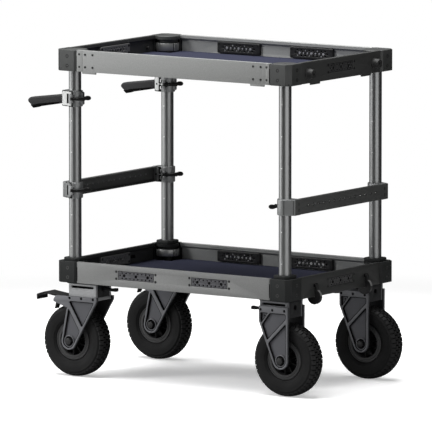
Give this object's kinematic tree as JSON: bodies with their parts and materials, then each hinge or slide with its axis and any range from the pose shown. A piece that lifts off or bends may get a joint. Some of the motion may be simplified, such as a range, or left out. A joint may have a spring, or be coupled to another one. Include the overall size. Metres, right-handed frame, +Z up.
{
  "type": "two-shelf camera cart",
  "caption": "Two-shelf camera cart: lift-off upper tray, four masts, clamped mid rails and push handles, and four pneumatic swivel casters, two with brakes.",
  "frame": {"origin": "on the floor under the middle of the whole cart, handles and wheels included", "axes": "+X along the length, away from the push handles; -Y is the long front side; +Z up"},
  "size_m": [1.0724, 0.599, 1.035],
  "materials": {
    "silver_rail": "fine bead-blasted silver anodising",
    "dark_rail": "dark grey anodising",
    "casting": "dark satin paint",
    "mast": "polished tube",
    "floor": "soft navy lining",
    "fork": "grey anodising with bright edges",
    "rim": "moulded",
    "tyre": "blocky tread",
    "clamp": "satin anodising",
    "black_steel": "black satin",
    "mid_rail": "black anodising",
    "grip": "soft-touch"
  },
  "bodies": {
    "base": {"base_rail_front": "silver_rail", "base_rail_back": "silver_rail", "base_rail_left": "dark_rail", "base_rail_right": "dark_rail", "base_corner_front_left": "casting", "base_corner_front_right": "casting", "base_corner_back_left": "casting", "base_corner_back_right": "casting", "base_floor": "floor", "mast_front_left": "mast", "mast_front_right": "mast", "mast_back_left": "mast", "mast_back_right": "mast"},
    "top_shelf": {"top_rail_front": "silver_rail", "top_rail_back": "silver_rail", "top_rail_left": "dark_rail", "top_rail_right": "dark_rail", "top_corner_front_left": "casting", "top_corner_front_right": "casting", "top_corner_back_left": "casting", "top_corner_back_right": "casting", "top_floor": "floor"},
    "tray_knob_front_left": {"tray_knob_front_left": "black_steel"},
    "release_lever_front_left": {"release_lever_front_left": "black_steel"},
    "caster_front_left": {"caster_fork_front_left": "fork"},
    "wheel_front_left": {"wheel_rim_front_left": "rim", "tyre_front_left": "tyre"},
    "swivel_lock_front_left": {"swivel_lock_front_left": "black_steel"},
    "brake_pedal_front_left": {"brake_pedal_front_left": "black_steel"},
    "tray_knob_front_right": {"tray_knob_front_right": "black_steel"},
    "release_lever_front_right": {"release_lever_front_right": "black_steel"},
    "caster_front_right": {"caster_fork_front_right": "fork"},
    "wheel_front_right": {"wheel_rim_front_right": "rim", "tyre_front_right": "tyre"},
    "swivel_lock_front_right": {"swivel_lock_front_right": "black_steel"},
    "tray_knob_back_left": {"tray_knob_back_left": "black_steel"},
    "release_lever_back_left": {"release_lever_back_left": "black_steel"},
    "caster_back_left": {"caster_fork_back_left": "fork"},
    "wheel_back_left": {"wheel_rim_back_left": "rim", "tyre_back_left": "tyre"},
    "swivel_lock_back_left": {"swivel_lock_back_left": "black_steel"},
    "brake_pedal_back_left": {"brake_pedal_back_left": "black_steel"},
    "tray_knob_back_right": {"tray_knob_back_right": "black_steel"},
    "release_lever_back_right": {"release_lever_back_right": "black_steel"},
    "caster_back_right": {"caster_fork_back_right": "fork"},
    "wheel_back_right": {"wheel_rim_back_right": "rim", "tyre_back_right": "tyre"},
    "swivel_lock_back_right": {"swivel_lock_back_right": "black_steel"},
    "handle_front": {"handle_clamp_front": "clamp", "handle_grip_front": "grip"},
    "handle_lever_front": {"handle_lever_front": "black_steel"},
    "handle_back": {"handle_clamp_back": "clamp", "handle_grip_back": "grip"},
    "handle_lever_back": {"handle_lever_back": "black_steel"},
    "mid_rail_left": {"mid_rail_left": "mid_rail"},
    "mid_lever_front_left": {"mid_lever_front_left": "black_steel"},
    "mid_lever_back_left": {"mid_lever_back_left": "black_steel"},
    "mid_rail_right": {"mid_rail_right": "mid_rail"},
    "mid_lever_front_right": {"mid_lever_front_right": "black_steel"},
    "mid_lever_back_right": {"mid_lever_back_right": "black_steel"}
  },
  "joints": [
    {"name": "top_shelf_lift", "type": "slide", "parent": "base", "child": "top_shelf", "axis": [0, 0, 1], "range_m": [0, 0.08]},
    {"name": "tray_knob_front_left_turn", "type": "hinge", "parent": "top_shelf", "child": "tray_knob_front_left", "pos_m": [-0.39808, -0.187, 0.998], "axis": [-1, 0, 0], "range_deg": [0, 360]},
    {"name": "release_lever_front_left_lift", "type": "hinge", "parent": "base", "child": "release_lever_front_left", "pos_m": [-0.39508, -0.11, 0.338], "axis": [0, 1, 0], "range_deg": [0, 35]},
    {"name": "caster_front_left_swivel", "type": "hinge", "parent": "base", "child": "caster_front_left", "pos_m": [-0.32758, -0.228, 0.25], "axis": [0, 0, 1], "continuous": true},
    {"name": "wheel_front_left_spin", "type": "hinge", "parent": "caster_front_left", "child": "wheel_front_left", "pos_m": [-0.37188, -0.228, 0.1143], "axis": [0, 1, 0], "continuous": true},
    {"name": "swivel_lock_front_left_press", "type": "hinge", "parent": "caster_front_left", "child": "swivel_lock_front_left", "pos_m": [-0.28158, -0.228, 0.286], "axis": [0, 1, 0], "range_deg": [0, 15]},
    {"name": "brake_pedal_front_left_press", "type": "hinge", "parent": "caster_front_left", "child": "brake_pedal_front_left", "pos_m": [-0.41758, -0.228, 0.246], "axis": [0, -1, 0], "range_deg": [0, 6]},
    {"name": "tray_knob_front_right_turn", "type": "hinge", "parent": "top_shelf", "child": "tray_knob_front_right", "pos_m": [0.46492, -0.187, 0.998], "axis": [1, 0, 0], "range_deg": [0, 360]},
    {"name": "release_lever_front_right_lift", "type": "hinge", "parent": "base", "child": "release_lever_front_right", "pos_m": [0.46192, -0.143, 0.338], "axis": [0, -1, 0], "range_deg": [0, 35]},
    {"name": "caster_front_right_swivel", "type": "hinge", "parent": "base", "child": "caster_front_right", "pos_m": [0.39442, -0.228, 0.25], "axis": [0, 0, 1], "continuous": true},
    {"name": "wheel_front_right_spin", "type": "hinge", "parent": "caster_front_right", "child": "wheel_front_right", "pos_m": [0.42192, -0.228, 0.1143], "axis": [0, 1, 0], "continuous": true},
    {"name": "swivel_lock_front_right_press", "type": "hinge", "parent": "caster_front_right", "child": "swivel_lock_front_right", "pos_m": [0.34842, -0.228, 0.27], "axis": [0, -1, 0], "range_deg": [0, 15]},
    {"name": "tray_knob_back_left_turn", "type": "hinge", "parent": "top_shelf", "child": "tray_knob_back_left", "pos_m": [-0.39808, 0.187, 0.998], "axis": [-1, 0, 0], "range_deg": [0, 360]},
    {"name": "release_lever_back_left_lift", "type": "hinge", "parent": "base", "child": "release_lever_back_left", "pos_m": [-0.39508, 0.11, 0.338], "axis": [0, 1, 0], "range_deg": [0, 35]},
    {"name": "caster_back_left_swivel", "type": "hinge", "parent": "base", "child": "caster_back_left", "pos_m": [-0.32758, 0.228, 0.25], "axis": [0, 0, 1], "continuous": true},
    {"name": "wheel_back_left_spin", "type": "hinge", "parent": "caster_back_left", "child": "wheel_back_left", "pos_m": [-0.37188, 0.228, 0.1143], "axis": [0, 1, 0], "continuous": true},
    {"name": "swivel_lock_back_left_press", "type": "hinge", "parent": "caster_back_left", "child": "swivel_lock_back_left", "pos_m": [-0.28158, 0.228, 0.286], "axis": [0, 1, 0], "range_deg": [0, 15]},
    {"name": "brake_pedal_back_left_press", "type": "hinge", "parent": "caster_back_left", "child": "brake_pedal_back_left", "pos_m": [-0.41758, 0.228, 0.246], "axis": [0, -1, 0], "range_deg": [0, 6]},
    {"name": "tray_knob_back_right_turn", "type": "hinge", "parent": "top_shelf", "child": "tray_knob_back_right", "pos_m": [0.46492, 0.187, 0.998], "axis": [1, 0, 0], "range_deg": [0, 360]},
    {"name": "release_lever_back_right_lift", "type": "hinge", "parent": "base", "child": "release_lever_back_right", "pos_m": [0.46192, 0.143, 0.338], "axis": [0, -1, 0], "range_deg": [0, 35]},
    {"name": "caster_back_right_swivel", "type": "hinge", "parent": "base", "child": "caster_back_right", "pos_m": [0.39442, 0.228, 0.25], "axis": [0, 0, 1], "continuous": true},
    {"name": "wheel_back_right_spin", "type": "hinge", "parent": "caster_back_right", "child": "wheel_back_right", "pos_m": [0.42192, 0.228, 0.1143], "axis": [0, 1, 0], "continuous": true},
    {"name": "swivel_lock_back_right_press", "type": "hinge", "parent": "caster_back_right", "child": "swivel_lock_back_right", "pos_m": [0.34842, 0.228, 0.27], "axis": [0, -1, 0], "range_deg": [0, 15]},
    {"name": "handle_front_slide", "type": "slide", "parent": "base", "child": "handle_front", "axis": [0, 0, 1], "range_m": [-0.1, 0.05]},
    {"name": "handle_lever_front_open", "type": "hinge", "parent": "handle_front", "child": "handle_lever_front", "pos_m": [-0.35358, -0.285, 0.879], "axis": [0, 0, -1], "range_deg": [0, 90]},
    {"name": "handle_back_slide", "type": "slide", "parent": "base", "child": "handle_back", "axis": [0, 0, 1], "range_m": [-0.1, 0.05]},
    {"name": "handle_lever_back_open", "type": "hinge", "parent": "handle_back", "child": "handle_lever_back", "pos_m": [-0.35358, 0.227, 0.879], "axis": [0, 0, -1], "range_deg": [0, 90]},
    {"name": "mid_rail_left_slide", "type": "slide", "parent": "base", "child": "mid_rail_left", "axis": [0, 0, 1], "range_m": [-0.15, 0.12]},
    {"name": "mid_lever_front_left_open", "type": "hinge", "parent": "mid_rail_left", "child": "mid_lever_front_left", "pos_m": [-0.35358, -0.285, 0.591], "axis": [0, 0, -1], "range_deg": [0, 90]},
    {"name": "mid_lever_back_left_open", "type": "hinge", "parent": "mid_rail_left", "child": "mid_lever_back_left", "pos_m": [-0.35358, 0.227, 0.591], "axis": [0, 0, -1], "range_deg": [0, 90]},
    {"name": "mid_rail_right_slide", "type": "slide", "parent": "base", "child": "mid_rail_right", "axis": [0, 0, 1], "range_m": [-0.15, 0.12]},
    {"name": "mid_lever_front_right_open", "type": "hinge", "parent": "mid_rail_right", "child": "mid_lever_front_right", "pos_m": [0.42042, -0.227, 0.591], "axis": [0, 0, -1], "range_deg": [0, 90]},
    {"name": "mid_lever_back_right_open", "type": "hinge", "parent": "mid_rail_right", "child": "mid_lever_back_right", "pos_m": [0.42042, 0.285, 0.591], "axis": [0, 0, -1], "range_deg": [0, 90]}
  ]
}
